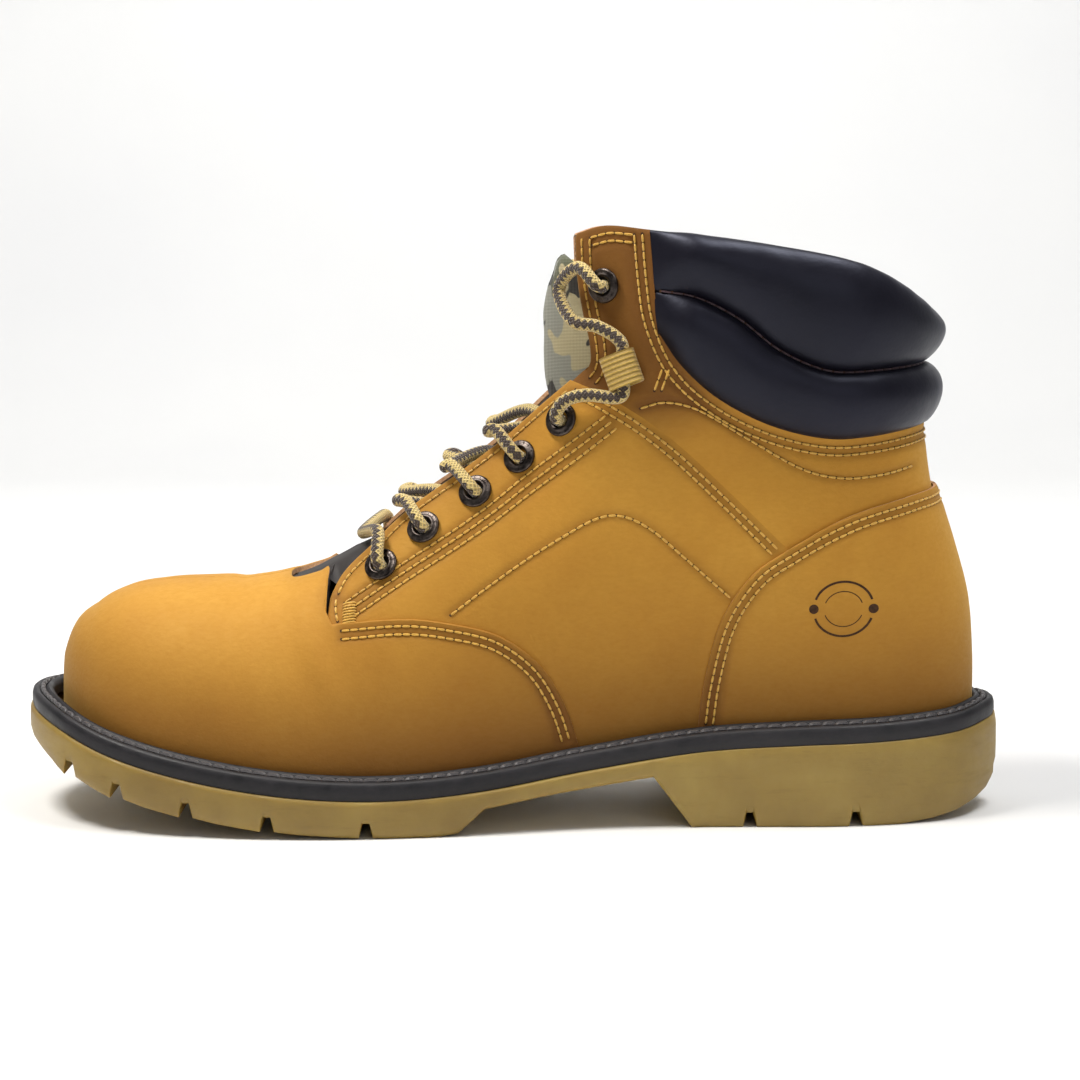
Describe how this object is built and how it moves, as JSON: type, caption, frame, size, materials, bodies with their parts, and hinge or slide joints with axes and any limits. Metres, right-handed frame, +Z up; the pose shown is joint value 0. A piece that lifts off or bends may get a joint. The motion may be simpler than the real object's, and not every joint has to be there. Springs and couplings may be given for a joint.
{
  "type": "work boot",
  "caption": "Ankle-high welted work boot for the left foot, with a steel toe cap, laced leather upper, tongue and padded collar.",
  "frame": {"origin": "middle of the bounding box at the sole's lowest face", "axes": "+X from toe to heel, -Y towards the outer (lateral) side, +Z up"},
  "size_m": [0.3112, 0.1113, 0.1851],
  "materials": {
    "gum_rubber": "matt translucent",
    "welt_rubber": "matt",
    "fibreboard": "matt",
    "cork": "matt granular",
    "foam": "matt",
    "steel": "bare",
    "footbed_fabric": "knitted",
    "nubuck": "brushed nubuck",
    "felt": "felt",
    "lining": "knitted mesh",
    "collar_leather": "smooth soft sheen",
    "camo_fabric": "printed woven",
    "webbing": "ribbed",
    "lace_cord": "braided",
    "aglet_plastic": "glossy",
    "eyelet_metal": "dark gunmetal"
  },
  "bodies": {
    "boot": {"outsole": "gum_rubber", "welt": "welt_rubber", "insole_board": "fibreboard", "cork_filler": "cork", "heel_cushion": "foam", "steel_shank": "steel", "steel_toe_cap": "steel", "vamp": "nubuck", "vamp_interlining": "felt", "vamp_lining": "lining", "quarter_lining": "lining", "front_quarter_lateral": "nubuck", "front_quarter_medial": "nubuck", "rear_quarter_lateral": "nubuck", "rear_quarter_medial": "nubuck", "heel_counter_cover": "nubuck", "heel_stiffener": "fibreboard", "collar_roll_lower": "collar_leather", "collar_roll_upper": "collar_leather", "webbing_loop_lateral": "webbing", "webbing_loop_medial": "webbing", "lace": "lace_cord", "aglet_lateral": "aglet_plastic", "aglet_medial": "aglet_plastic", "eyelet_lateral_1": "eyelet_metal", "eyelet_lateral_2": "eyelet_metal", "eyelet_lateral_3": "eyelet_metal", "eyelet_lateral_4": "eyelet_metal", "eyelet_lateral_5": "eyelet_metal", "eyelet_lateral_6": "eyelet_metal", "eyelet_medial_1": "eyelet_metal", "eyelet_medial_2": "eyelet_metal", "eyelet_medial_3": "eyelet_metal", "eyelet_medial_4": "eyelet_metal", "eyelet_medial_5": "eyelet_metal", "eyelet_medial_6": "eyelet_metal"},
    "tongue_body": {"tongue": "camo_fabric"},
    "footbed_body": {"footbed": "footbed_fabric"}
  },
  "joints": [
    {"name": "tongue_swing", "type": "hinge", "parent": "boot", "child": "tongue_body", "pos_m": [-0.05, 0, 0.076], "axis": [0, 1, 0], "range_deg": [0, 10]},
    {"name": "footbed_lift", "type": "hinge", "parent": "boot", "child": "footbed_body", "pos_m": [-0.13001, 0, 0.02992], "axis": [0, -1, 0], "range_deg": [0, 5]}
  ]
}
